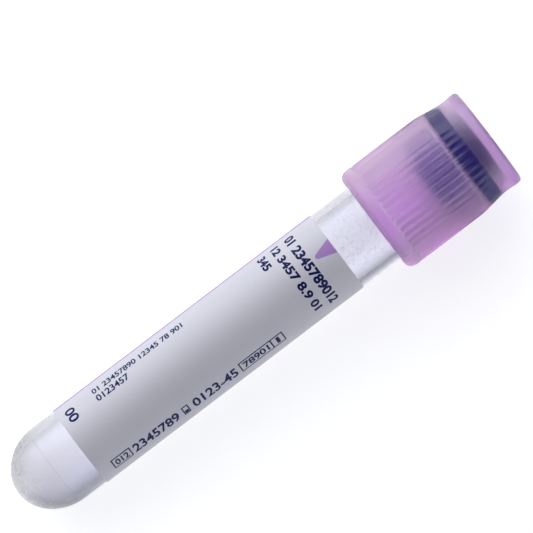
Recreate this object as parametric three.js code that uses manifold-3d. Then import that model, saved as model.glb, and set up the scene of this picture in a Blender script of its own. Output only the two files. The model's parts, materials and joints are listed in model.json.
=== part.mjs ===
// A small plastic blood collection tube, lying on its side: a clear round-bottomed tube with a label
// wrapped round it, closed by a rubber stopper that a ribbed plastic shield holds and covers.
//
// Millimetres, +Z up, +X from the round end towards the closure. The origin is under the middle of
// the part, on the plane it lies on: it touches that plane with its round end and with the lower
// ring of the shield.
//
// The pieces are turned about one axis and share one set of facets, so the gaps between them stay
// even. Heights are measured along that axis from the round tip. Angles go round it from the top of
// the lying tube, growing towards the -Y side.

import * as THREE from "three";
import { mergeVertices } from "three/addons/utils/BufferGeometryUtils.js";
import Module from "manifold-3d";

// ---------------------------------------------------------------- tube: one clear moulded piece
const tubeRadius = 6.3;
const tubeLength = 78.2; // round tip to rim
const tubeWall = 1.0; // at the rim
const domeHeight = 7.2; // the round end is a little taller than a hemisphere
const domeWall = 1.3; // at the tip
const boreDraft = 0.15; // how much narrower the bore is at its lower end
const coreHeight = 6.3; // where the rounded end of the bore starts
const coreStep = 0.12; // the small step that the end of the mould's core leaves there
const rimRound = 0.2;

// ---------------------------------------------------------------- label: one wrapped film
const labelStart = 11.0; // from the round tip
const labelLength = 46.0;
const labelThickness = 0.1;
const labelGap = 0.02; // the layer of glue
const labelEdgeAngle = -88; // the edge that carries the stripe
const labelArc = 296; // the rest of the turn is a clear window
const labelCorner = 1.0; // radius of its four corners

// ---------------------------------------------------------------- stopper: one piece of rubber
const seatGap = 0.1; // between the flange and the tube's rim
const flangeThickness = 2.2;
const flangeOverhang = 0.65; // past the outside of the tube
const flangeLedge = 1.25; // past its own neck
const flangeRound = 0.3;
const neckRise = 2.48; // above the flange
const neckWall = 2.5; // around the well
const wellDepth = 3.1; // the needle goes in here
const plugLength = 5.74; // below the flange
const plugClearance = 0.1; // the real rubber is squeezed into the bore
const plugLead = 0.5; // taper at its lower end
const cupWall = 1.9; // around the hollow underneath
const cupDepth = 3.5;

// ---------------------------------------------------------------- shield: one moulded piece
const shieldLength = 20.6;
const topRecess = 1.28; // from its top down to the top of the stopper
const neckClearance = 0.3; // all round the stopper's neck
const flangeClearance = 0.3; // all round the stopper's flange, and above it
const beadGap = 0.25; // from the flange down to the bead that keeps it in
const beadWidth = 0.4;
const beadSlope = 0.3; // along the axis, on each side of the bead
const beadReach = 0.25; // how far it stands out from the bore
const skirtClearance = 0.55; // all round the tube
const ringWall = 1.57; // the plain lower ring
const ringHeight = 2.1;
const ringRoundOut = 1.1; // its rounded lower edge, across the wall
const ringRoundUp = 1.5; // and along the axis
const mouthRound = 0.35;
const recessDepth = 0.34; // the ribbed face lies this far inside the ring
const recessSlope = 0.4; // height of the step between them
const collarWall = 0.57; // outside the pocket that holds the flange
const rimHeight = 1.5; // the top edge stands a little proud of the collar
const rimProud = 0.08;
const rimSlope = 0.3;
const topRound = 0.6;
const holeRound = 0.35;
const shoulderStart = 2.6; // down from the top, where the collar starts to widen
const shoulderEnd = 8.0; // and where it has its full width

const ribHeight = 0.3;
const ribCrest = 0.25; // width along the crest
const ribFlank = 0.2; // width and height of the slope on each side
const ribPitch = 8; // degrees
const ribsInPanel = 11;
const panels = 3; // of ribs, with a plain face between them
const firstPanelAngle = 8; // its middle
const ribRootDepth = 0.15; // how far the roots stay outside the pocket
const ribTip = 0.7; // from the start of the shoulder to the tips
const ribOverlap = 0.3; // into the ring and the collar

// ---------------------------------------------------------------- facets
const turnSegments = 45; // round each piece: an odd number leaves one flat facet underneath
const domeSteps = 12;
const lipSteps = 3;
const ringSteps = 6;
const topSteps = 4;
const shoulderSteps = 6;

// ---------------------------------------------------------------- fits and places
const degrees = Math.PI / 180;
const facetAngle = 360 / turnSegments;
const flatShare = Math.cos(0.5 * facetAngle * degrees); // of a radius, to the middle of a facet

const boreRadius = tubeRadius - tubeWall;
const coreRadius = boreRadius - boreDraft - coreStep;

const flangeRadius = tubeRadius + flangeOverhang;
const neckRadius = flangeRadius - flangeLedge;
const wellRadius = neckRadius - neckWall;
const plugRadius = boreRadius - plugClearance;
const cupRadius = plugRadius - cupWall;
const flangeSeat = tubeLength + seatGap;
const flangeTop = flangeSeat + flangeThickness;
const neckTop = flangeTop + neckRise;
const wellFloor = neckTop - wellDepth;
const plugEnd = flangeSeat - plugLength;
const cupCeiling = plugEnd + cupDepth;

const shieldTop = neckTop + topRecess;
const shieldBottom = shieldTop - shieldLength;
const pocketRadius = flangeRadius + flangeClearance;
const pocketCeiling = flangeTop + flangeClearance;
const pocketFloor = flangeSeat - beadGap;
const skirtRadius = tubeRadius + skirtClearance;
const beadRadius = skirtRadius - beadReach;
const ringRadius = skirtRadius + ringWall;
const faceRadius = ringRadius - recessDepth;
const collarRadius = pocketRadius + collarWall;
const rimRadius = collarRadius + rimProud;
const holeRadius = neckRadius + neckClearance;

const at = (radius, height) => new THREE.Vector2(radius, height);

// Points on part of an ellipse, both ends included. 0 degrees points outwards and 90 points up.
function arc(centreRadius, centreHeight, across, along, from, to, steps) {
  const points = [];
  for (let i = 0; i <= steps; i++) {
    const angle = (from + ((to - from) * i) / steps) * degrees;
    points.push(at(centreRadius + across * Math.cos(angle), centreHeight + along * Math.sin(angle)));
  }
  return points;
}

// The outer edge of a round piece, rounded between two faces that meet at this radius and height.
function roundedEdge(radius, height, round, from, to) {
  const centreHeight = from < 0 ? height + round : height - round;
  return arc(radius - round, centreHeight, round, round, from, to, lipSteps);
}

// The outside of the shield between its collar and its full width, with an even S-shaped slope.
function shoulder(fullRadius, belowTop) {
  const share = THREE.MathUtils.smoothstep(belowTop, shoulderStart, shoulderEnd);
  return at(collarRadius + (fullRadius - collarRadius) * share, shieldTop - belowTop);
}

function shoulderPoints(fullRadius, from, to) {
  const points = [];
  for (let i = 0; i <= shoulderSteps; i++) {
    points.push(shoulder(fullRadius, from + ((to - from) * i) / shoulderSteps));
  }
  return points;
}

// ---------------------------------------------------------------- turned outlines
const tubeOutline = [
  ...arc(0, domeHeight, tubeRadius, domeHeight, -90, 0, domeSteps),
  ...arc(tubeRadius - rimRound, tubeLength - rimRound, rimRound, rimRound, 0, 90, lipSteps),
  ...arc(boreRadius + rimRound, tubeLength - rimRound, rimRound, rimRound, 90, 180, lipSteps),
  at(boreRadius - boreDraft, coreHeight + coreStep),
  ...arc(0, coreHeight, coreRadius, coreHeight - domeWall, 0, -90, domeSteps),
];

const stopperOutline = [
  at(0, cupCeiling),
  at(cupRadius, cupCeiling),
  at(cupRadius, plugEnd),
  at(plugRadius - plugLead, plugEnd),
  at(plugRadius, plugEnd + 2 * plugLead),
  at(plugRadius, flangeSeat),
  ...roundedEdge(flangeRadius, flangeSeat, flangeRound, -90, 0),
  ...roundedEdge(flangeRadius, flangeTop, flangeRound, 0, 90),
  at(neckRadius, flangeTop),
  ...roundedEdge(neckRadius, neckTop, flangeRound, 0, 90),
  at(wellRadius, neckTop),
  at(wellRadius, wellFloor),
  at(0, wellFloor),
];

const ringCorner = at(ringRadius - ringRoundOut, shieldBottom + ringRoundUp);
const shieldOutline = [
  ...arc(ringCorner.x, ringCorner.y, ringRoundOut, ringRoundUp, -90, 0, ringSteps),
  at(ringRadius, shieldBottom + ringHeight),
  at(faceRadius, shieldBottom + ringHeight + recessSlope),
  ...shoulderPoints(faceRadius, shoulderEnd, shoulderStart),
  at(collarRadius, shieldTop - rimHeight - rimSlope),
  at(rimRadius, shieldTop - rimHeight),
  ...arc(rimRadius - topRound, shieldTop - topRound, topRound, topRound, 0, 90, topSteps),
  ...arc(holeRadius + holeRound, shieldTop - holeRound, holeRound, holeRound, 90, 180, lipSteps),
  at(holeRadius, pocketCeiling),
  at(pocketRadius, pocketCeiling),
  at(pocketRadius, pocketFloor),
  at(beadRadius, pocketFloor - beadSlope),
  at(beadRadius, pocketFloor - beadSlope - beadWidth),
  at(skirtRadius, pocketFloor - 2 * beadSlope - beadWidth),
  ...arc(skirtRadius + mouthRound, shieldBottom + mouthRound, mouthRound, mouthRound, 180, 270, lipSteps),
];
shieldOutline.push(shieldOutline[0].clone());

// ---------------------------------------------------------------- solids
const wasm = await Module();
wasm.setup();

function turned(outline) {
  return new THREE.LatheGeometry(outline, turnSegments);
}

function toSolid(geometry) {
  const bare = geometry.clone();
  bare.deleteAttribute("normal");
  bare.deleteAttribute("uv");
  const merged = mergeVertices(bare);
  const vertProperties = Float32Array.from(merged.attributes.position.array);
  const triVerts = Uint32Array.from(merged.index.array);
  return new wasm.Manifold(new wasm.Mesh({ numProp: 3, vertProperties, triVerts }));
}

function toGeometry(solid) {
  const mesh = solid.getMesh();
  const geometry = new THREE.BufferGeometry();
  geometry.setAttribute("position", new THREE.BufferAttribute(mesh.vertProperties, 3));
  geometry.setIndex(new THREE.BufferAttribute(mesh.triVerts, 1));
  geometry.computeVertexNormals();
  return geometry;
}

// One rib: its side view pushed out to its width, with a sloped flank on each side. Its crest sinks
// into the shoulder towards the top, which gives it a pointed tip, and its foot ends in the ring.
function ribGeometry() {
  const crestRadius = faceRadius + ribHeight;
  const rootRadius = pocketRadius + ribRootDepth;
  const tip = shoulderStart + ribTip;
  const side = [
    at(rootRadius, shieldBottom + ringHeight - ribOverlap),
    at(crestRadius, shieldBottom + ringHeight - ribOverlap),
    ...shoulderPoints(crestRadius, shoulderEnd, tip),
    at(rootRadius, shieldTop - tip + ribOverlap),
  ];
  const rib = new THREE.ExtrudeGeometry(new THREE.Shape(side), {
    depth: ribCrest,
    bevelEnabled: true,
    bevelThickness: ribFlank,
    bevelSize: ribFlank,
    bevelOffset: -ribFlank,
    bevelSegments: 1,
  });
  return rib.translate(0, 0, -0.5 * ribCrest);
}

function shieldGeometry() {
  let shield = toSolid(turned(shieldOutline));
  const rib = ribGeometry();
  for (let panel = 0; panel < panels; panel++) {
    const middle = firstPanelAngle + (panel * 360) / panels;
    for (let i = 0; i < ribsInPanel; i++) {
      const angle = middle + (i - 0.5 * (ribsInPanel - 1)) * ribPitch;
      shield = shield.add(toSolid(rib.clone().rotateY((angle - 90) * degrees)));
    }
  }
  return toGeometry(shield);
}

// The label starts as a thin flat box with a column of faces for each facet of the tube. The box is
// bent round the tube, and the ends of its first and last columns follow the rounded corners.
function labelGeometry() {
  const innerRadius = tubeRadius + labelGap;
  const cornerShares = [0, 0.13, 0.5, 1];
  const cornerAngle = labelCorner / innerRadius / degrees;
  const lastAngle = labelEdgeAngle + labelArc;
  const columns = cornerShares.map((share) => labelEdgeAngle + share * cornerAngle);
  const firstFacet = Math.floor((labelEdgeAngle + cornerAngle) / facetAngle) + 1;
  for (let i = firstFacet; i * facetAngle < lastAngle - cornerAngle; i++) {
    columns.push(i * facetAngle);
  }
  columns.push(...cornerShares.map((share) => lastAngle - share * cornerAngle).reverse());

  const box = new THREE.BoxGeometry(columns.length - 1, 1, 1, columns.length - 1, 1, 1);
  const position = box.attributes.position;
  for (let i = 0; i < position.count; i++) {
    const angle = columns[Math.round(position.getX(i) + 0.5 * (columns.length - 1))];
    const fromEdge = Math.min(angle - labelEdgeAngle, lastAngle - angle) * degrees * innerRadius;
    const intoCorner = Math.max(0, labelCorner - fromEdge);
    const drop = labelCorner - Math.sqrt(labelCorner ** 2 - intoCorner ** 2);
    const end = Math.sign(position.getY(i));
    const height = labelStart + 0.5 * labelLength + end * (0.5 * labelLength - drop);
    const radius = position.getZ(i) > 0 ? innerRadius + labelThickness : innerRadius;
    const turn = angle * degrees;
    position.setXYZ(i, radius * Math.sin(turn), height, radius * Math.cos(turn));
  }
  return box;
}

// ---------------------------------------------------------------- the lying part
function named(name, geometry, look) {
  const mesh = new THREE.Mesh(geometry, new THREE.MeshStandardMaterial({ metalness: 0, ...look }));
  mesh.name = name;
  return mesh;
}

const clear = { color: 0xe4e6ef, roughness: 0.12, transparent: true, opacity: 0.4 };
const whiteFilm = { color: 0xe9e9ee, roughness: 0.45 };
const darkRubber = { color: 0x28265e, roughness: 0.7 };
const lilac = { color: 0xa97fc4, roughness: 0.35, transparent: true, opacity: 0.75 };

const stoppedTube = new THREE.Group();
stoppedTube.add(named("tube", turned(tubeOutline), clear));
stoppedTube.add(named("label", labelGeometry(), whiteFilm));
const closure = new THREE.Group();
closure.add(named("stopper", turned(stopperOutline), darkRubber));
closure.add(named("shield", shieldGeometry(), lilac));
stoppedTube.add(closure);
stoppedTube.rotation.z = -0.5 * Math.PI; // from standing along +Y to lying along +X

// How far an outline reaches down from the axis when the axis rises by this angle to the closure.
function lowest(outline, tilt) {
  const reach = outline.map((p) => p.y * Math.sin(tilt) - flatShare * p.x * Math.cos(tilt));
  return Math.min(...reach);
}

// The angle at which the tube with its label and the shield reach down equally far.
function restingTilt() {
  const labelEdge = at(tubeRadius + labelGap + labelThickness, labelStart);
  let flat = 0;
  let steep = 20 * degrees;
  for (let i = 0; i < 50; i++) {
    const tilt = 0.5 * (flat + steep);
    if (lowest(shieldOutline, tilt) < lowest([...tubeOutline, labelEdge], tilt)) {
      flat = tilt;
    } else {
      steep = tilt;
    }
  }
  return flat;
}

const lying = new THREE.Group();
lying.rotation.y = -restingTilt();
lying.add(stoppedTube);

const part = new THREE.Group();
part.add(lying);
part.updateMatrixWorld(true);
const box = new THREE.Box3().setFromObject(part, true);
const middle = box.getCenter(new THREE.Vector3());
lying.position.set(-middle.x, -middle.y, -box.min.z);

export default part;
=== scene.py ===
# %% [markdown]
# # A small blood collection tube
# The part is already engineered: a clear tube with a round end, a label wrapped round it, and a
# closure made of a rubber stopper inside a ribbed plastic shield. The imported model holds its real
# sizes and its one joint. This lesson gives it its looks. The CAD pieces have flat facets, so each is
# replaced by a smooth one of the same size, and the print and the dried additive are added.

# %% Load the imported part
import json
import math
import random

import bmesh
import bpy
from mathutils import Matrix, Vector


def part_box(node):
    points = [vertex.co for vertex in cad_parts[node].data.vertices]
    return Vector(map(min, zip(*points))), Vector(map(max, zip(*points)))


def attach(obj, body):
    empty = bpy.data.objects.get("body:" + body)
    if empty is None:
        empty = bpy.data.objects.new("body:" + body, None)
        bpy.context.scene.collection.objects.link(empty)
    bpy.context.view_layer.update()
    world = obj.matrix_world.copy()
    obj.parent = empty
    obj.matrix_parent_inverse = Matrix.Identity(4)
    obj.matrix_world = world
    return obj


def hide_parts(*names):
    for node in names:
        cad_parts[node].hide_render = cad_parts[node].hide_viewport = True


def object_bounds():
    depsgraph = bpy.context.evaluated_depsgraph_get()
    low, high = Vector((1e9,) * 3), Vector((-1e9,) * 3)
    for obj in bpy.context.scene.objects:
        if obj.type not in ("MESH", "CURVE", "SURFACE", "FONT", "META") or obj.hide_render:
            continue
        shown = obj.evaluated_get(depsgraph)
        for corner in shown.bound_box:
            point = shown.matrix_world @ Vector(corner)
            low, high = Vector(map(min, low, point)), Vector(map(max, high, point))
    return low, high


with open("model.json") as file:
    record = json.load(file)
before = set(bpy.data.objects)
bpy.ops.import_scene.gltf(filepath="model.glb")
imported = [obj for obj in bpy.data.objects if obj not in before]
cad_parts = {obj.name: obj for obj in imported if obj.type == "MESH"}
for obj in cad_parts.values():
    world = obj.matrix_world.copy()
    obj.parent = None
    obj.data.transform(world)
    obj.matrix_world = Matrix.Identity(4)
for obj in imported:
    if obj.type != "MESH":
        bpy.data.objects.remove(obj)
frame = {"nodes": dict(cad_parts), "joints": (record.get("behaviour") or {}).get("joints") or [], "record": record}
cad_low, cad_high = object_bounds()
scene = bpy.context.scene
print("CAD box in mm:", [round(1000 * (high - low), 2) for low, high in zip(cad_low, cad_high)])

# %% [markdown]
# ## An upright frame to model in
# The tube lies with its axis rising a little towards the closure, which is awkward to work in. So
# every piece is modelled upright, in millimetres: Z runs from the round tip along the axis, X points
# up out of the lying tube, and an angle is counted from X. One matrix then lays the finished mesh
# down. The pull joint gives the axis, and the mount in the stopper's well is a point on it.

# %% The lying frame
MM = 0.001
pull = frame["joints"][0]
mounts = {mount["name"]: mount for mount in frame["record"]["mounts"]}
along = Vector(pull["axis"]).normalized()
upward = Vector((-along.z, 0, along.x))
sideways = along.cross(upward)
on_axis = Vector(mounts["stopper_well_floor"]["pos_m"])
tip = on_axis + along * ((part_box("tube")[0].x - on_axis.x) / along.x)
turn = Matrix((upward, sideways, along)).transposed().to_4x4()
LAY = Matrix.Translation(tip) @ turn @ Matrix.Scale(MM, 4)
print("the axis rises", round(math.degrees(math.asin(along.z)), 2), "degrees")


# %% [markdown]
# The main sizes are measured on the CAD nodes in that frame. A CAD piece is a polygon of 45 sides. A
# true circle that stays inside it has the radius of its flats, so every radius below is the CAD's
# own, and it's multiplied by ROUND when a shape is made. Then nothing grows past the CAD's box.

# %% Measure the CAD nodes
CAD_SIDES = 45
JUST_INSIDE = 0.9995
ROUND = JUST_INSIDE * math.cos(math.pi / CAD_SIDES)


def measure(node):
    """Where a CAD node starts and ends along the axis, and its largest radius, in mm."""
    points = [LAY.inverted() @ v.co for v in frame["nodes"][node].data.vertices]
    heights = [p.z for p in points]
    return min(heights), max(heights), max(math.hypot(p.x, p.y) for p in points)


_, tube_rim, tube_radius = measure("tube")
label_start, label_end, label_radius = measure("label")
plug_end, neck_top, flange_radius = measure("stopper")
shield_bottom, shield_top, ring_radius = measure("shield")
for node in ("tube", "label", "stopper", "shield"):
    print(node, [round(value, 2) for value in measure(node)])

# %% [markdown]
# ## Shader arithmetic
# A material that varies over a surface needs many Math nodes. Wrapping a socket in a small class
# makes them read like a formula: each operator adds one node and returns its output. Every other
# node comes from one method, which sets the node up first and then fills its sockets.

# %% The wire class
class Wire:
    """An output socket. Arithmetic on it adds Math nodes to its tree."""

    def __init__(self, tree, socket=None):
        self.tree = tree
        self.socket = socket

    def node(self, kind, settings=None, inputs=None, output=0):
        made = self.tree.nodes.new(kind)
        for name, value in (settings or {}).items():
            setattr(made, name, value)
        for name, value in (inputs or {}).items():
            if isinstance(value, Wire):
                self.tree.links.new(value.socket, made.inputs[name])
            else:
                made.inputs[name].default_value = value
        return Wire(self.tree, made.outputs[output])

    def math(self, operation, *values):
        return self.node("ShaderNodeMath", {"operation": operation}, dict(enumerate(values)))

    def __add__(self, other):
        return self.math("ADD", self, other)

    def __sub__(self, other):
        return self.math("SUBTRACT", self, other)

    def __mul__(self, other):
        return self.math("MULTIPLY", self, other)

    def __radd__(self, other):
        return self.math("ADD", other, self)

    def __rsub__(self, other):
        return self.math("SUBTRACT", other, self)

    def __rmul__(self, other):
        return self.math("MULTIPLY", other, self)

    def at_least(self, other):
        return self.math("MAXIMUM", self, other)

    def smooth(self, low, high):
        """0 below low and 1 above high, with an even S-shaped step between."""
        settings = {"interpolation_type": "SMOOTHSTEP"}
        limits = {"Value": self, "From Min": low, "From Max": high}
        return self.node("ShaderNodeMapRange", settings, limits)

    def band(self, rise, fall):
        """0, then 1 between two smooth steps, then 0 again. Each step is a (low, high) pair."""
        return self.smooth(*rise) - self.smooth(*fall)

    def dot(self, vector):
        inputs = {0: self, 1: vector}
        return self.node("ShaderNodeVectorMath", {"operation": "DOT_PRODUCT"}, inputs, "Value")

    def noise(self, scale_per_mm, detail):
        inputs = {"Vector": self, "Scale": scale_per_mm / MM, "Detail": detail}
        return self.node("ShaderNodeTexNoise", None, inputs)

    def mix(self, first, second):
        """first where this wire is 0 and second where it is 1, as colours."""
        inputs = {"Factor": self, "A": first, "B": second}
        return self.node("ShaderNodeMix", {"data_type": "RGBA"}, inputs, 2)


# %% [markdown]
# A finish is then one function. It's given the place of a point on the surface and returns what
# varies there, by the name of its socket. What is the same all over goes straight on the shader's
# own sockets, where an export can read it. Colours are written as they are seen, from 0 to 255.

# %% Colours, materials and bumps
BLACK = (0, 0, 0, 1)
WHITE = (1, 1, 1, 1)


def rgb(red, green, blue):
    """A colour as it is seen, turned into the linear colour that nodes use."""
    def linear(value):
        share = value / 255
        return share / 12.92 if share <= 0.04045 else ((share + 0.055) / 1.055) ** 2.4

    return (linear(red), linear(green), linear(blue), 1)


def material(name, paint, **constants):
    """A Principled material. Constants go on its sockets, and paint(place) returns what varies."""
    made = bpy.data.materials.new(name)
    made.use_nodes = True
    tree = made.node_tree
    shader = tree.nodes["Principled BSDF"]
    for socket, value in constants.items():
        shader.inputs[socket.replace("_", " ")].default_value = value
    place = Wire(tree).node("ShaderNodeTexCoord", output="Object")
    for socket, wire in paint(place).items():
        tree.links.new(wire.socket, shader.inputs[socket])
    print(name, "has", len(tree.nodes), "nodes")
    return made


def bump(height, strength, distance_mm):
    """A Normal from a height that runs from 0 to 1."""
    inputs = {"Strength": strength, "Distance": distance_mm * MM, "Height": height}
    return height.node("ShaderNodeBump", None, inputs)


def distance_along(place, axis):
    """How far from the tip, in mm, a point is along an axis."""
    return (place.dot(axis) - axis.dot(tip)) * (1 / MM)


def height_on(place):
    """How far from the tip, in mm, a point is along the tube."""
    return distance_along(place, along)


def radius_of(place):
    """How far from the tube's axis, in mm, a point is."""
    high = distance_along(place, upward)
    wide = distance_along(place, sideways)
    squares = high * high + wide * wide
    return squares.math("SQRT", squares)


# %% [markdown]
# ## Round pieces from an outline
# The tube, the stopper and the shield are all turned shapes. Each starts as a wire, half of its
# section, with only its corners. A vertex bevel rounds a corner, as a tool's radius does. A long
# straight run gets a loop close to each end, because a corner's smooth shading would otherwise reach
# along the whole wall, and clear plastic would bend the light there. A full spin sweeps the wire into
# a closed skin. Merging doubles closes the seam and the poles, and then the normals are recalculated
# so that they all point out of the plastic.

# %% Outline, spin and lay down
SEGMENTS = 3 * CAD_SIDES
EDGE_STEPS = 5  # in a rounded corner
LONG_RUN = 1.6  # mm; a straight run that is longer gets its two loops
HOLD = 0.4  # mm from the end of a long run to the loop that holds its shading
WELD = 1e-4  # mm; points closer than this are one


def between(limits, share):
    """The value that lies a share of the way from the first limit to the second."""
    return limits[0] + (limits[1] - limits[0]) * share


def rounded(bm, corners, offset, steps):
    """Rounds corner points with a vertex bevel."""
    bmesh.ops.bevel(
        bm, geom=corners, offset=offset, offset_type="OFFSET", segments=steps, profile=0.5,
        affect="VERTICES", material=-1,
    )


def outline(corners, closed=False):
    """A wire through (radius, height, rounding) corners, in the XZ plane of a new bmesh."""
    bm = bmesh.new()
    points = [bm.verts.new((radius * ROUND, 0, height)) for radius, height, _ in corners]
    ends = points[1:] + points[:1] if closed else points[1:]
    for pair in zip(points, ends):
        bm.edges.new(pair)
    for point, (_, _, rounding) in zip(points, corners):
        if rounding:
            rounded(bm, [point], rounding, EDGE_STEPS)
    for edge in [edge for edge in bm.edges if edge.calc_length() > LONG_RUN]:
        for end in edge.verts[:]:
            rest = max(end.link_edges, key=lambda e: e.calc_length())
            bmesh.utils.edge_split(rest, end, HOLD / rest.calc_length())
    return bm


def spun(bm, steps=SEGMENTS):
    """Sweeps a wire round the Z axis and closes the skin."""
    bmesh.ops.spin(
        bm, geom=bm.verts[:] + bm.edges[:], cent=(0, 0, 0), axis=(0, 0, 1),
        angle=math.tau, steps=steps, use_merge=True,
    )
    bmesh.ops.remove_doubles(bm, verts=bm.verts, dist=WELD)
    bmesh.ops.recalc_face_normals(bm, faces=bm.faces)
    return bm


def lay_down(bm, name, finish, body, node=None, sharp_degrees=40):
    """Lays a finished bmesh in its place as a piece that rides on a body."""
    bmesh.ops.transform(bm, matrix=LAY, verts=bm.verts)
    mesh = bpy.data.meshes.new(name)
    bm.to_mesh(mesh)
    bm.free()
    mesh.shade_smooth()
    mesh.set_sharp_from_angle(angle=math.radians(sharp_degrees))
    mesh.materials.append(finish)
    piece = bpy.data.objects.new(name, mesh)
    scene.collection.objects.link(piece)
    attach(piece, body)
    if node:
        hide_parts(node)
    print(name, "has", len(mesh.polygons), "faces")
    return piece


def quarter(inner, width, centre_height, height, steps=24):
    """Corners on a quarter of an ellipse, from its lowest point out to its side."""
    angles = [0.5 * math.pi * i / steps for i in range(steps + 1)]
    return [
        (inner + width * math.sin(a), centre_height - height * math.cos(a), 0) for a in angles
    ]


# %% [markdown]
# ## The clear tube
# The plastic is clear but not as clean as glass, and towards the tip it gets milky. It's true
# transmission, because the wall's refraction draws the grey lines along the sides. A transparent
# Alpha would be quicker, but it would lose them. Light that enters a clear wall runs along it and
# comes out at the rim, after more bounces than a render follows, and the rim would come out black.
# So the rim's end face is matt and is given a painted glow instead.

# %% Clear plastic
MILKY_END = (3.0, 12.0)  # mm from the tip, where the milkiness fades out
END_FACE = (tube_rim - 0.15, tube_rim - 0.02)


def paint_clear_plastic(place):
    cloud = place.noise(scale_per_mm=0.35, detail=3)
    flow = place.noise(scale_per_mm=0.4, detail=1)
    wisp = cloud.smooth(0.3, 0.7)
    height = height_on(place)
    milky = (1 - height.smooth(*MILKY_END)) * (0.6 + 0.4 * wisp)
    # painted glow: the rim's end face glows, for light that the wall pipes to it
    glowing_end_face = height.smooth(*END_FACE)
    clear = cloud.mix(rgb(238, 238, 246), rgb(243, 243, 250))
    return {
        "Base Color": milky.mix(clear, rgb(237, 236, 241)),
        "Roughness": 0.03 + 0.03 * cloud + 0.25 * milky + 0.85 * glowing_end_face,
        "Emission Color": glowing_end_face.mix(BLACK, WHITE),
        "Normal": bump(flow, strength=0.15, distance_mm=0.02),
    }


clear_plastic = material(
    "clear plastic", paint_clear_plastic, Transmission_Weight=0.95, IOR=1.57, Emission_Strength=0.2
)

# %% [markdown]
# The real tube is one moulding of PET: a straight wall about a millimetre thick and a round end a
# little taller than a hemisphere. The bore narrows downwards, so that the mould's core can be drawn
# out, and the core leaves a fine step on the inside where the round end begins. One outline goes
# from the tip up the outside, over the rim and down the bore, and a spin makes the rest.

# %% The tube
WALL = 1.0
DOME_HEIGHT = 7.2
DOME_WALL = 1.3
BORE_DRAFT = 0.15
CORE_HEIGHT = 6.3
CORE_STEP = 0.02
RIM_ROUND = 0.2

bore_radius = tube_radius - WALL
core_radius = bore_radius - BORE_DRAFT - CORE_STEP
tube_corners = quarter(0, tube_radius, DOME_HEIGHT, DOME_HEIGHT)
tube_corners += [
    (tube_radius, tube_rim, RIM_ROUND),
    (bore_radius, tube_rim, RIM_ROUND),
    (bore_radius - BORE_DRAFT, CORE_HEIGHT + CORE_STEP, 0),
]
tube_corners += quarter(0, core_radius, CORE_HEIGHT, CORE_HEIGHT - DOME_WALL)[::-1]
tube = lay_down(
    spun(outline(tube_corners)), "clear_tube", clear_plastic, "tube", "tube"
)

# %% [markdown]
# ## The wrapped label
# The film is white and satin. What keeps it from looking like paint is a very fine grain in its
# surface and a slightly uneven gloss. It's stuck to the wall with no air between them, so its glued
# side is set a little way into the wall: an air layer there would mirror and turn it grey. Thin film
# also lets some light through, which brightens the inside of the tube. A render's light hardly gets
# there, so it's painted light: the glued side is whiter than the face and glows faintly.

# %% White film
GLUE = 0.02  # how far the glued side is set into the wall
FACE_DEPTH = 0.03  # how far under its outside the film still has the face's colour

glued_radius = tube_radius - GLUE


def paint_white_film(place):
    grain = place.noise(scale_per_mm=9, detail=2)
    patch = place.noise(scale_per_mm=0.25, detail=2)
    face = patch.mix(rgb(229, 227, 233), rgb(234, 232, 237))
    # painted light: the glued side is whiter and glows faintly, for light that comes through the film
    painted_light_inside = 1 - radius_of(place).smooth(glued_radius * ROUND, label_radius * ROUND - FACE_DEPTH)
    return {
        "Base Color": painted_light_inside.mix(face, rgb(250, 250, 252)),
        "Emission Color": painted_light_inside.mix(BLACK, WHITE),
        "Roughness": 0.38 + 0.14 * patch + 0.05 * grain,
        "Normal": bump(grain, strength=0.12, distance_mm=0.01),
    }


white_film = material("white film", paint_white_film, Emission_Strength=0.12)


# %% [markdown]
# A label is easiest to make flat: x runs round the tube, y along it, both in millimetres. A
# rectangle gets its rounded corners by a vertex bevel, cuts every fraction of a millimetre let it
# bend, and then it's wrapped and given its thickness. The same wrap serves the print, which is made
# flat too.

# %% Wrap a flat shape round the tube
def at_angle(degrees):
    """How far round the label an angle is, in mm of arc."""
    return math.radians(degrees) * label_radius


def add_rectangle(bm, low, high):
    """A flat rectangle between two (x, y) corners. Returns its four points."""
    made = bmesh.ops.create_grid(bm, x_segments=1, y_segments=1, size=0.5)["verts"]
    size = Vector((high[0] - low[0], high[1] - low[1], 1))
    middle = Vector(((high[0] + low[0]) / 2, (high[1] + low[1]) / 2, 0))
    bmesh.ops.scale(bm, vec=size, verts=made)
    bmesh.ops.translate(bm, vec=middle, verts=made)
    return made


def wrapped(bm, radius, slice_mm):
    """Bends a flat shape round the tube, with x as the arc and y as the height."""
    low, high = min(v.co.x for v in bm.verts), max(v.co.x for v in bm.verts)
    for i in range(1, math.ceil((high - low) / slice_mm)):
        bmesh.ops.bisect_plane(
            bm, geom=bm.verts[:] + bm.edges[:] + bm.faces[:],
            plane_co=(low + i * slice_mm, 0, 0), plane_no=(1, 0, 0),
        )
    for v in bm.verts:
        angle = v.co.x / label_radius
        v.co = (radius * ROUND * math.cos(angle), radius * ROUND * math.sin(angle), v.co.y)
    return bm


# %% [markdown]
# The real label is one piece of film that stops short of meeting itself, which leaves a clear
# window to look through. The wrapped film is as wide as the label's outside. Its normals are turned
# to point out of the tube, so that it gets its thickness inwards, down to the glued side.

# %% The label
LABEL_EDGE = -88  # degrees, the edge that carries the stripe
LABEL_ARC = 296  # the rest of the way round is the clear window
LABEL_CORNER = 1.0
CORNER_STEPS = 6
LABEL_SLICE = 0.25

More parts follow.
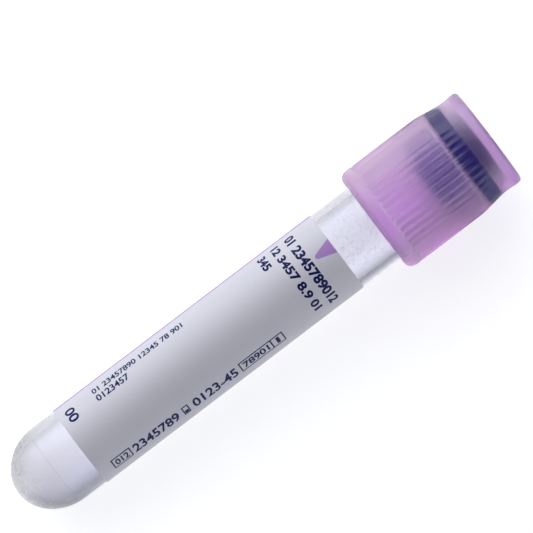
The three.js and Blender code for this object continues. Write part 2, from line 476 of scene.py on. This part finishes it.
bm = bmesh.new()
label_corners = add_rectangle(
    bm, (at_angle(LABEL_EDGE), label_start), (at_angle(LABEL_EDGE + LABEL_ARC), label_end)
)
rounded(bm, label_corners, LABEL_CORNER, CORNER_STEPS)
wrapped(bm, label_radius, LABEL_SLICE)
bmesh.ops.recalc_face_normals(bm, faces=bm.faces)
outward = sum(f.normal.dot(f.calc_center_median() * Vector((1, 1, 0))) for f in bm.faces)
if outward < 0:
    bmesh.ops.reverse_faces(bm, faces=bm.faces)
bmesh.ops.solidify(bm, geom=bm.faces[:], thickness=(label_radius - glued_radius) * ROUND)
label_piece = lay_down(bm, "wrapped_label", white_film, "tube", "label")
print("label reaches", [round(c, 2) for c in label_piece.dimensions * 1000])

# %% [markdown]
# ## The print
# Ink on film is a layer too thin to feel, but it has crisp edges. So it's made as shapes just above
# the film, and not as a texture. There is a lilac stripe along one edge and a lilac mark at the top
# edge, and rows of plain figures and frames in navy. Fine paler specks show where the ink is thin.

# %% Inks
INK_LIFT = 0.008  # how far the print lies above the film
PRINT_SLICE = 0.35
SPECKS = (0.62, 0.75)  # only the peaks of the noise are specks


def ink(name, colour, worn):
    """A printed ink with specks that are halfway to a paler, worn colour."""
    def paint(place):
        speck = place.noise(scale_per_mm=6, detail=3).smooth(*SPECKS)
        return {"Base Color": (speck * 0.5).mix(colour, worn), "Roughness": 0.42 + 0.1 * speck}

    return material(name, paint, Specular_IOR_Level=0.2)


navy_ink = ink("navy ink", rgb(12, 24, 92), rgb(48, 66, 138))
lilac_ink = ink("lilac ink", rgb(192, 150, 216), rgb(210, 180, 227))

# %% Lilac stripe and mark
STRIPE = (-87, -77)  # degrees
MARK_MIDDLE = -9.8
MARK_HALF = 1.23
MARK_LENGTH = 3.0
MARK_TIP = 0.28  # half its width at the blunt end
MARK_ROUND = 0.25
EDGE_GAP = 0.02  # the ink stops just short of the film's edge

bm = bmesh.new()
middle, bottom, top = at_angle(MARK_MIDDLE), label_start + EDGE_GAP, label_end - EDGE_GAP
add_rectangle(bm, (at_angle(STRIPE[0]), bottom), (at_angle(STRIPE[1]), top))
mark = [
    bm.verts.new((middle - MARK_HALF, top, 0)),
    bm.verts.new((middle - MARK_TIP, top - MARK_LENGTH, 0)),
    bm.verts.new((middle + MARK_TIP, top - MARK_LENGTH, 0)),
    bm.verts.new((middle + MARK_HALF, top, 0)),
]
bm.faces.new(mark)
rounded(bm, mark[1:3], MARK_ROUND, EDGE_STEPS)
wrapped(bm, label_radius + INK_LIFT, PRINT_SLICE)
lilac_print = lay_down(bm, "lilac_print", lilac_ink, "tube")


# %% [markdown]
# Figures come from Blender's own font. Each row is written, turned into a mesh and scaled to fill
# the space that it has on the label, and all rows are joined before they are wrapped. A row either
# runs round the tube or, turned a quarter, along it. None has a 6 in it, because the font's 6 loses
# its outline when it's made this bold.

# %% Write a row, draw a frame
FRAME_LINE = 0.19


def add_row(bm, text, angles, heights, bold, turned=False):
    """Writes figures that fill a space between two angles, in degrees, and two heights, in mm."""
    curve = bpy.data.curves.new("row", "FONT")
    curve.body = text
    curve.offset = bold
    written = bpy.data.objects.new("row", curve)
    scene.collection.objects.link(written)
    depsgraph = bpy.context.evaluated_depsgraph_get()
    mesh = bpy.data.meshes.new_from_object(written.evaluated_get(depsgraph))
    if turned:
        mesh.transform(Matrix.Rotation(math.pi / 2, 4, "Z"))
    for k, space in enumerate(([at_angle(angle) for angle in angles], heights)):
        low, high = min(v.co[k] for v in mesh.vertices), max(v.co[k] for v in mesh.vertices)
        for v in mesh.vertices:
            v.co[k] = between(space, (v.co[k] - low) / (high - low))
    bm.from_mesh(mesh)
    bpy.data.objects.remove(written)
    bpy.data.curves.remove(curve)
    bpy.data.meshes.remove(mesh)


def add_frame(bm, angles, heights):
    """Four bars round a space between two angles and two heights."""
    (left, right), (bottom, top) = [at_angle(angle) for angle in angles], heights
    add_rectangle(bm, (left, bottom), (left + FRAME_LINE, top))
    add_rectangle(bm, (right - FRAME_LINE, bottom), (right, top))
    add_rectangle(bm, (left + FRAME_LINE, bottom), (right - FRAME_LINE, bottom + FRAME_LINE))
    add_rectangle(bm, (left + FRAME_LINE, top - FRAME_LINE), (right - FRAME_LINE, top))


# %% [markdown]
# The rows stand where such a label has its wording, wide ones at the top and small ones along the
# sides. Each line of the lists gives a text with its two angles and its two heights, so a row can
# be moved or changed without touching another.

# %% Rows, frames and bars
BOLD = 0.04
LESS_BOLD = 0.025
ROWS_ROUND = [
    ("01 2345789012", (-64, 57), (51.75, 53.35), BOLD),
    ("12 3457 8.9 01", (-64, 50), (49.35, 50.75), BOLD),
    ("345", (-64, -36.5), (47.0, 48.4), BOLD),
    ("00", (-55, -31), (12.15, 13.75), LESS_BOLD),
]
ROWS_ALONG = [
    ("01 23457890 12345 78 901", (-58, -47.5), (17.1, 33.1)),
    ("0123457", (-43.5, -33), (17.1, 22.75)),
    ("012", (45, 56.5), (13.75, 16.05)),
    ("2345789", (42.5, 59.5), (16.95, 25.0)),
    ("0123-45", (42.5, 59.5), (27.6, 35.4)),
    ("78901", (45, 56.5), (36.6, 41.1)),
    ("1", (45, 56.5), (42.45, 43.0)),
]
FRAMES = [((41.5, 60), (13.25, 16.55)), ((43, 59), (25.75, 26.85)), ((41.5, 60), (36.0, 43.8))]
BARS = [((51, 57), (25.97, 26.63)), ((41.5, 60), (41.55, 41.77))]

bm = bmesh.new()
for text, angles, heights, bold in ROWS_ROUND:
    add_row(bm, text, angles, heights, bold)
for text, angles, heights in ROWS_ALONG:
    add_row(bm, text, angles, heights, LESS_BOLD, turned=True)
for angles, heights in FRAMES:
    add_frame(bm, angles, heights)
for angles, (bottom, top) in BARS:
    add_rectangle(bm, (at_angle(angles[0]), bottom), (at_angle(angles[1]), top))
wrapped(bm, label_radius + INK_LIFT, PRINT_SLICE)
navy_print = lay_down(bm, "navy_print", navy_ink, "tube")

# %% [markdown]
# ## The dried additive
# Before such a tube is closed, a solution is sprayed on the inside of its wall and dries to fine
# droplets. They are translucent and paler than the wall behind them. They are scattered on the bore
# with a seeded random generator, thinning out towards the bottom. Each is a flattened ball of 20
# faces, which is plenty for a tenth of a millimetre.

# %% Dried salt
def paint_dried_salt(place):
    tone = place.noise(scale_per_mm=1.6, detail=1).smooth(0.35, 0.65)
    return {
        "Base Color": tone.mix(rgb(244, 244, 249), rgb(253, 253, 255)),
        "Roughness": 0.4 + 0.2 * tone,
    }


dried_salt = material("dried salt", paint_dried_salt, Transmission_Weight=0.75, IOR=1.4)

# %% Droplets
DROPLETS = 8500
SPRAY = (30.0, 72.0)  # heights on the wall
MOSTLY_HIGH = 0.35  # a power below 1 crowds them towards the upper height
DROPLET_RADII = (0.035, 0.08)
MOSTLY_SMALL = 2.5  # a power above 1 makes most of them small
DROPLET_FLATNESS = 0.45
DROPLET_STRETCH = (0.8, 1.2)  # along the tube
OFF_THE_WALL = 0.002

spray = random.Random(11)
bm = bmesh.new()
bmesh.ops.create_icosphere(bm, subdivisions=1, radius=1)
ball = bpy.data.meshes.new("ball")
bm.to_mesh(ball)
bm.clear()
for _ in range(DROPLETS):
    height = between(SPRAY, spray.random() ** MOSTLY_HIGH)
    angle = math.tau * spray.random()
    size = between(DROPLET_RADII, spray.random() ** MOSTLY_SMALL)
    stretch = between(DROPLET_STRETCH, spray.random())
    draft = BORE_DRAFT * (tube_rim - height) / (tube_rim - CORE_HEIGHT)
    out = (bore_radius - draft) * ROUND - size * DROPLET_FLATNESS - OFF_THE_WALL
    place = Matrix.Rotation(angle, 4, "Z") @ Matrix.Translation((out, 0, height))
    shape = Matrix.Diagonal((size * DROPLET_FLATNESS, size, size * stretch, 1))
    droplet = ball.copy()
    droplet.transform(place @ shape)
    bm.from_mesh(droplet)
    bpy.data.meshes.remove(droplet)
bpy.data.meshes.remove(ball)
droplets = lay_down(
    bm, "additive_droplets", dried_salt, "tube", sharp_degrees=180
)

# %% [markdown]
# ## The rubber stopper
# One moulding: a plug that goes into the bore with a hollow underneath, a flange that sits on the
# tube's rim, and a neck with a well for the needle. Moulded rubber is matt and never quite even, so
# its material mixes two dark tones and has a fine grain. The plug's side, which lies against the
# wall, is lighter: painted light, for the light that reaches it through the clear wall and the
# shield. The neck is greyer than the rest: a painted sheen of reflection from the air gap round it.

# %% Where the stopper's parts end
FLANGE_THICKNESS = 2.2
NECK_RISE = 2.48

flange_top = neck_top - NECK_RISE
flange_seat = flange_top - FLANGE_THICKNESS
print("the flange lies between", round(flange_seat, 2), "and", round(flange_top, 2), "mm")

# %% Dark rubber
# Ranges for the painted light on the plug's side and the painted sheen on the neck.
PLUG_SIDE = (bore_radius - 1.2, bore_radius - 0.6)  # the radii where the lighter side fades in
PLUG_TOP = (flange_seat - 0.5, flange_seat)
NECK_FOOT = (flange_top, flange_top + 0.6)


def paint_dark_rubber(place):
    mottle = place.noise(scale_per_mm=0.8, detail=4)
    grain = place.noise(scale_per_mm=7, detail=2)
    height = height_on(place)
    # painted light: the plug's side is lighter, and the neck greyer as a painted sheen; the rest is the rubber's
    # own tone
    painted_light_plug = radius_of(place).smooth(*PLUG_SIDE) * (1 - height.smooth(*PLUG_TOP))
    pressed = mottle.mix(rgb(30, 6, 104), rgb(38, 12, 124))
    painted_sheen_neck = mottle.mix(rgb(56, 48, 100), rgb(66, 56, 116))
    return {
        "Base Color": painted_light_plug.mix(height.smooth(*NECK_FOOT).mix(pressed, painted_sheen_neck), rgb(112, 62, 206)),
        "Roughness": 0.6 + 0.2 * mottle,
        "Normal": bump(grain, strength=0.3, distance_mm=0.02),
    }


dark_rubber = material("dark rubber", paint_dark_rubber, Specular_IOR_Level=0.1)

# %% [markdown]
# The stopper's outline starts at the axis in the hollow, goes down and round the plug, out along the
# flange and up the neck, and ends at the axis on the well's floor. Squeezed rubber leaves no air at
# the bore or in the shield's pocket, and air would show as bright lines. So the rubber is drawn a
# very little way into the plastic that it touches.

# %% The stopper
FLANGE_LEDGE = 1.25
FLANGE_ROUND = 0.3
FLANGE_CLEARANCE = 0.3
NECK_WALL = 2.5
WELL_DEPTH = 3.1
SQUEEZE = 0.02  # how far the rubber is pressed into the plastic that it touches
PLUG_LEAD = 0.5
CUP_WALL = 1.9
CUP_DEPTH = 3.5

neck_radius = flange_radius - FLANGE_LEDGE
well_radius = neck_radius - NECK_WALL
plug_radius = bore_radius + SQUEEZE
pressed_radius = flange_radius + FLANGE_CLEARANCE + SQUEEZE
pressed_top = flange_top + FLANGE_CLEARANCE + SQUEEZE
cup_radius = plug_radius - CUP_WALL
stopper_corners = [
    (0, plug_end + CUP_DEPTH, 0),
    (cup_radius, plug_end + CUP_DEPTH, 0.4),
    (cup_radius, plug_end, 0.2),
    (plug_radius - PLUG_LEAD, plug_end, 0.2),
    (plug_radius, plug_end + 2 * PLUG_LEAD, 0.3),
    (plug_radius, flange_seat, 0),
    (pressed_radius, flange_seat, FLANGE_ROUND),
    (pressed_radius, pressed_top, 0.1),
    (neck_radius, pressed_top, 0.15),
    (neck_radius, neck_top, FLANGE_ROUND),
    (well_radius, neck_top, 0.2),
    (well_radius, neck_top - WELL_DEPTH, 0.3),
    (0, neck_top - WELL_DEPTH, 0),
]
stopper = lay_down(
    spun(outline(stopper_corners)), "rubber_stopper", dark_rubber, "closure",
    "stopper",
)

# %% [markdown]
# ## The ribbed shield
# The shield is one moulding too, with three panels of fine ribs round its skirt and plain windows
# between them. A boolean with 33 bars would leave ragged shading, and overlapping bars would show
# inside clear plastic. So the skin is spun evenly first, with a row of faces for each column that
# the ribs need, and then every column is turned to the edge of its rib and the crests are raised.

# %% Where the columns of faces go
RIB_PITCH = 8  # degrees
RIBS = 11
PANELS = 3
FIRST_PANEL = 8
RIB_SHAPE = [(-0.4, 0), (-0.3, 0.3), (-0.16, 0.82), (0, 1), (0.16, 0.82), (0.3, 0.3), (0.4, 0)]
WINDOW_STEP = 3


def rib_columns():
    """(angle, shift in mm, share of the rib's height) for each column, once round."""
    columns = []
    panel_arc = (RIBS - 1) * RIB_PITCH
    window = 360 / PANELS - panel_arc
    count = int(window / WINDOW_STEP)
    for panel in range(PANELS):
        first = FIRST_PANEL + panel * 360 / PANELS - 0.5 * panel_arc
        for i in range(RIBS):
            columns += [(first + i * RIB_PITCH, shift, rise) for shift, rise in RIB_SHAPE]
            if i < RIBS - 1:
                columns.append((first + (i + 0.5) * RIB_PITCH, 0, 0))
        last = first + panel_arc
        columns += [(last + window * i / count, 0, 0) for i in range(1, count)]
    return columns


columns = rib_columns()
print("the shield has", len(columns), "columns and", PANELS * RIBS, "ribs")

# %% [markdown]
# The shield's outline is closed: up the outside from the thick lower ring, over the top, down through
# the hole for the needle and the pocket that holds the stopper's flange, past a small bead that keeps
# it in, and down the inside of the skirt. Between the skirt and the narrower collar the outside runs
# in an even S.

# %% The shield's outline
TOP_ROUND = 0.6
HOLE_ROUND = 0.35
NECK_CLEARANCE = 0.3
BEAD_GAP = 0.25
BEAD_WIDTH = 0.4
BEAD_SLOPE = 0.3
BEAD_REACH = 0.25
RING_WALL = 1.57
RING_HEIGHT = 2.1
RING_ROUND = (1.1, 1.5)  # across and along
RING_STEPS = 8
RECESS_DEPTH = 0.34
RECESS_SLOPE = 0.4
COLLAR_WALL = 0.57
RIM_HEIGHT = 1.5
RIM_PROUD = 0.08
RIM_SLOPE = 0.3
SHOULDER = (2.6, 8.0)  # down from the top
SHOULDER_STEP = 0.3

pocket_radius = flange_radius + FLANGE_CLEARANCE
pocket_floor = flange_seat - BEAD_GAP
pocket_ceiling = flange_top + FLANGE_CLEARANCE
hole_radius = neck_radius + NECK_CLEARANCE
skirt_radius = ring_radius - RING_WALL
bead_radius = skirt_radius - BEAD_REACH
face_radius = ring_radius - RECESS_DEPTH
collar_radius = pocket_radius + COLLAR_WALL
ring_top = shield_bottom + RING_HEIGHT
shoulder_limits = (shield_top - SHOULDER[1], shield_top - SHOULDER[0])


def shoulder_radius(full, height):
    """The outside between the full width and the narrower collar, as an even S."""
    share = (shoulder_limits[1] - height) / (shoulder_limits[1] - shoulder_limits[0])
    share = min(1, max(0, share))
    return between((collar_radius, full), share * share * (3 - 2 * share))


rows = int((shoulder_limits[1] - shoulder_limits[0]) / SHOULDER_STEP)
shoulder = [between(shoulder_limits, i / rows) for i in range(rows + 1)]
skirt_rows = [ring_top + RECESS_SLOPE + i for i in range(1, int(shoulder_limits[0] - ring_top))]
ring_curve = quarter(
    ring_radius - RING_ROUND[0], RING_ROUND[0], shield_bottom + RING_ROUND[1], RING_ROUND[1],
    RING_STEPS,
)
shield_corners = [(skirt_radius, shield_bottom, 0.35), *ring_curve]
shield_corners += [(ring_radius, ring_top, 0.25), (face_radius, ring_top + RECESS_SLOPE, 0.15)]
shield_corners += [(face_radius, height, 0) for height in skirt_rows]
shield_corners += [(shoulder_radius(face_radius, height), height, 0) for height in shoulder]
shield_corners += [
    (collar_radius, shield_top - RIM_HEIGHT - RIM_SLOPE, 0),
    (collar_radius + RIM_PROUD, shield_top - RIM_HEIGHT, 0),
    (collar_radius + RIM_PROUD, shield_top, TOP_ROUND),
    (hole_radius, shield_top, HOLE_ROUND),
    (hole_radius, pocket_ceiling, 0.1),
    (pocket_radius, pocket_ceiling, 0.15),
    (pocket_radius, pocket_floor, 0),
    (bead_radius, pocket_floor - BEAD_SLOPE, 0.1),
    (bead_radius, pocket_floor - BEAD_SLOPE - BEAD_WIDTH, 0.1),
    (skirt_radius, pocket_floor - 2 * BEAD_SLOPE - BEAD_WIDTH, 0),
]
print("the shield's outline has", len(shield_corners), "corners")

# %% [markdown]
# After the even spin, a point's angle gives the number of its column, and the column says where the
# point goes. Points on the outside of the skirt also move out to the crest of their rib. The ribs
# get narrower towards the top, because a mould needs draft to let them go.

# %% Spin the skin and raise the ribs
RIB_HEIGHT = 0.3
RIB_SPREAD = (1.25, 0.75)  # how wide the ribs are at their feet and at their tips
RIB_SHORT = 0.5  # they end this far below the shoulder's end
RIB_SKIN = 0.2  # only what is further out than the pocket by this is the outside

rib_top = shoulder_limits[1] - RIB_SHORT
bm = spun(outline(shield_corners, closed=True), steps=len(columns))
step = math.tau / len(columns)
for v in bm.verts:
    radius = math.hypot(v.co.x, v.co.y)
    angle, shift, rise = columns[round(math.atan2(v.co.y, v.co.x) / step) % len(columns)]
    up_the_skirt = min(1, max(0, (v.co.z - ring_top) / (rib_top - ring_top)))
    on_a_rib = ring_top + 0.5 * RECESS_SLOPE < v.co.z < rib_top
    if on_a_rib and radius > pocket_radius + RIB_SKIN:
        crest = shoulder_radius(face_radius + RIB_HEIGHT, v.co.z) * ROUND
        radius += (crest - radius) * rise
    shift *= between(RIB_SPREAD, up_the_skirt)
    turned_to = math.radians(angle) + shift / (ring_radius * ROUND)
    v.co.x, v.co.y = radius * math.cos(turned_to), radius * math.sin(turned_to)
bmesh.ops.recalc_face_normals(bm, faces=bm.faces)
print("the skin has", len(bm.faces), "faces")


# %% [markdown]
# The plastic is translucent lilac. Light goes through it, loses green on the way and is scattered a
# little, and rough transmission does all of that, so the dark stopper shows through as a soft band.
# The thick rim and the lower ring scatter more. Its own surface mirrors only weakly, under a thin
# glossy coat, which gives the pale sheen along both sides.

# %% Lilac plastic
THICK_RIM = (shield_top - 1.9, shield_top - 1.0)
THICK_RING = (shield_bottom + 0.3, shield_bottom + 1.2)


def paint_lilac_plastic(place):
    cloud = place.noise(scale_per_mm=0.3, detail=3)
    flow = place.noise(scale_per_mm=1.5, detail=2)
    height = height_on(place)
    thick_rim = height.smooth(*THICK_RIM)
    thick_ring = 1 - height.smooth(*THICK_RING)
    skirt = cloud.mix(rgb(249, 217, 251), rgb(251, 222, 253))
    return {
        "Base Color": thick_rim.mix(skirt, rgb(231, 209, 239)),
        "Roughness": 0.43 + 0.08 * cloud + 0.35 * (thick_rim + thick_ring),
        "Normal": bump(flow, strength=0.2, distance_mm=0.03),
    }


lilac_plastic = material(
    "lilac plastic", paint_lilac_plastic, Transmission_Weight=1.0, IOR=1.49,
    Specular_IOR_Level=0.15, Coat_Weight=0.5, Coat_Roughness=0.2,
)
shield = lay_down(
    bm, "ribbed_shield", lilac_plastic, "closure", "shield", sharp_degrees=50
)

# %% [markdown]
# ## The floor
# The floor is a clean white page that catches a soft shadow. To the camera and in reflections it
# glows a little, so that it reads as white without more light on the object. What is seen through
# plastic has its own level of glow. Clear plastic gathers light from a wide part of the floor, and
# there the real page is shaded by the tube, so the level drops beside the tube and under the
# stopper. Under the closure the page is lit through lilac plastic, and it's tinted. What the closure
# mirrors on its dark side is dimmed too. These shades and the tint are painted where they fall when
# the tube is closed, so they don't follow the closure when it's pulled off.

# %% Ray masks
def ray_masks(tree):
    """Three masks: what the camera sees straight, as a reflection, and through plastic."""
    straight, glossy, through = [
        Wire(tree).node("ShaderNodeLightPath", output=f"Is {kind} Ray")
        for kind in ("Camera", "Glossy", "Transmission")
    ]
    return straight, glossy * (1 - through), through


# %% White floor
FLOOR_GLOW = 0.66
THROUGH_GLOW = 1.02
PAGE = (0.93, 0.93, 0.93, 1)
PAGE_THROUGH = (0.3, 0.3, 0.3, 1)  # seen through plastic, it's mostly its glow that counts
# Places on the floor, in mm: along X, and out from the tube towards +Y (light) and -Y (dark).
TIP_X = (-35, 0)
CLOSURE_X = ((20, 26), (40, 55))
STOPPER_X = ((29, 33), (36, 42))
LIGHT_OUT = (0, 10)
DARK_OUT = (-1, 9)
DARK_FURTHER = 5  # away from the tip, the dark side's shade starts this much further out
STOPPER_OUT = (-2, 6)
TINT_OUT = ((-5, 4), (10, 28))
# How much of the glow the shades take, and their colours.
LIGHT_SHADE = 0.28
DARK_SHADE = 0.78
STOPPER_SHADE = 0.27  # and as much again on the dark side
CLOSURE_FILLS = 0.4  # of the dark side's shade, where coloured light gets in
MIRROR_DIM = 1.1  # times the dark side's shade, for what the closure mirrors
SHADE_COLOUR = (0.9, 0.93, 1.12, 1)
LILAC_LIGHT = (1.35, 0.75, 1.5, 1)


def paint_white_floor(place):
    straight, mirrored, through = ray_masks(place.tree)
    x = place.dot((1 / MM, 0, 0))
    light_way = place.dot((0, 1 / MM, 0))
    dark_way = place.dot((0, -1 / MM, 0))
    closure = x.band(*CLOSURE_X)
    light_shade = LIGHT_SHADE * light_way.smooth(*LIGHT_OUT)
    dark_shade = DARK_SHADE * (dark_way - DARK_FURTHER * x.smooth(*TIP_X)).smooth(*DARK_OUT)
    stopper_shade = STOPPER_SHADE * x.band(*STOPPER_X) * (1 + dark_way.smooth(*STOPPER_OUT))
    level = THROUGH_GLOW - light_shade * (1 - closure) - stopper_shade
    level = level - dark_shade * (1 - CLOSURE_FILLS * closure)
    page_glow = FLOOR_GLOW * (straight + mirrored * (1 - MIRROR_DIM * dark_shade * closure))
    shaded = (dark_shade * through).mix(WHITE, SHADE_COLOUR)
    tint = closure * dark_way.band(*TINT_OUT)
    return {
        "Base Color": through.mix(PAGE, PAGE_THROUGH),
        "Emission Color": (tint * through).mix(shaded, LILAC_LIGHT),
        "Emission Strength": page_glow + level * through,
    }


white_floor = material("white floor", paint_white_floor, Roughness=0.9, Specular_IOR_Level=0.0)

# %% The floor
FLOOR_SIZE = 8.0  # metres

bm = bmesh.new()
bmesh.ops.create_grid(bm, x_segments=1, y_segments=1, size=0.5 * FLOOR_SIZE)
floor_mesh = bpy.data.meshes.new("floor")
bm.to_mesh(floor_mesh)
bm.free()
floor_mesh.materials.append(white_floor)
floor = bpy.data.objects.new("floor", floor_mesh)
scene.collection.objects.link(floor)
print("the floor is", FLOOR_SIZE, "m wide")

# %% [markdown]
# ## The sky
# The sky is a small studio with a soft white wall on each side, which shades the rounds of the tube.
# The wall towards +Y is brighter and reaches higher, and the one towards -Y falls off faster, so that
# side stays darker. What is seen straight, mirrored or through plastic also has a white horizon.
# Through plastic only the bright wall is seen, and a pale ceiling in place of the dark one, which
# would make clear plastic look smoked.

# %% The sky
SKY = 0.08
LIGHT_WALL = 2.3  # how much brighter it is straight towards +Y
DARK_WALL = 1.75  # and towards -Y
LIGHT_WALL_COLOUR = (0.96, 0.99, 1.08, 1)
DARK_WALL_COLOUR = (0.92, 0.94, 1.05, 1)
WALLS_MEET = (-0.2, 0.2)
HORIZON = (0.1, 0.4)
THROUGH_SKY = 0.9

scene.world = bpy.data.worlds.new("studio")
scene.world.use_nodes = True
sky = scene.world.node_tree
direction = Wire(sky).node("ShaderNodeTexCoord", output="Generated")
straight, mirrored, through = ray_masks(sky)
across = direction.dot((0, 1, 0))
light_side = across.smooth(*WALLS_MEET)
high_wall = across * across
low_wall = high_wall * high_wall * (1 - through)
walls = LIGHT_WALL * light_side * high_wall + DARK_WALL * (1 - light_side) * low_wall
horizon = (1 - direction.dot((0, 0, 1)).smooth(*HORIZON)) * (straight + mirrored + through)
strength = (SKY + walls).at_least(horizon).at_least(THROUGH_SKY * through)
colour = light_side.mix(DARK_WALL_COLOUR, LIGHT_WALL_COLOUR)
background = sky.nodes["Background"]
sky.links.new(colour.socket, background.inputs["Color"])
sky.links.new(strength.socket, background.inputs["Strength"])
print("the sky has", len(sky.nodes), "nodes")

# %% [markdown]
# ## The lamp
# Most of the light comes from the sky. One large, weak lamp on the bright side adds a direction, and
# its size keeps the shadow soft. It's given by how bright it makes a white card that faces it, which
# makes it easy to balance.

# %% Soft lamp
LAMP_ELEVATION = math.radians(40)
LAMP_DISTANCE = 1.0
LAMP_SIZE = 1.5
LAMP_BRIGHTNESS = 0.12  # 1 would light the card white

lamp_data = bpy.data.lights.new("key lamp", "AREA")
lamp_data.shape = "DISK"
lamp_data.size = LAMP_SIZE
lamp_data.energy = LAMP_BRIGHTNESS * math.pi**2 * LAMP_DISTANCE**2
lamp = bpy.data.objects.new("key lamp", lamp_data)
to_lamp = Vector((0, math.cos(LAMP_ELEVATION), math.sin(LAMP_ELEVATION)))
lamp.location = (cad_low + cad_high) / 2 + to_lamp * LAMP_DISTANCE
lamp.rotation_mode = "QUATERNION"
lamp.rotation_quaternion = (-to_lamp).to_track_quat("-Z", "Y")
lamp.visible_camera = False
scene.collection.objects.link(lamp)
print("the lamp gives", round(lamp_data.energy, 2), "W")

# %% [markdown]
# ## The camera
# The camera looks straight down at right angles to the tube's axis, with a long lens, so the closure
# and the tip are seen side on. It's rolled so that the tube lies on a slant across the frame.

# %% Camera
SLANT = math.radians(37.25)
FRAME_WIDTH = 76.0  # mm across the frame at the tube
LENS = 720
TOP_FROM_MIDDLE = Vector((31.72, 18.66))  # mm, from the middle of the frame to the closure's top

right = along * math.cos(SLANT) + sideways * math.sin(SLANT)
up_the_frame = along * math.sin(SLANT) - sideways * math.cos(SLANT)
closure_top = tip + along * shield_top * MM
aim = closure_top - (right * TOP_FROM_MIDDLE.x + up_the_frame * TOP_FROM_MIDDLE.y) * MM
camera_data = bpy.data.cameras.new("camera")
camera_data.lens = LENS
camera = bpy.data.objects.new("camera", camera_data)
distance = FRAME_WIDTH * MM * LENS / camera_data.sensor_width
camera.matrix_world = (
    Matrix.Translation(aim + upward * distance)
    @ Matrix((right, up_the_frame, upward)).transposed().to_4x4()
)
scene.collection.objects.link(camera)
scene.camera = camera
print("the camera is", round(distance, 2), "m away")

# %% [markdown]
# The colours above are given as they are seen. The Standard view transform shows them like that,
# where a filmic one would grey the whites.

# %% Colours as they are given
scene.view_settings.view_transform = "Standard"
print("view transform:", scene.view_settings.view_transform)
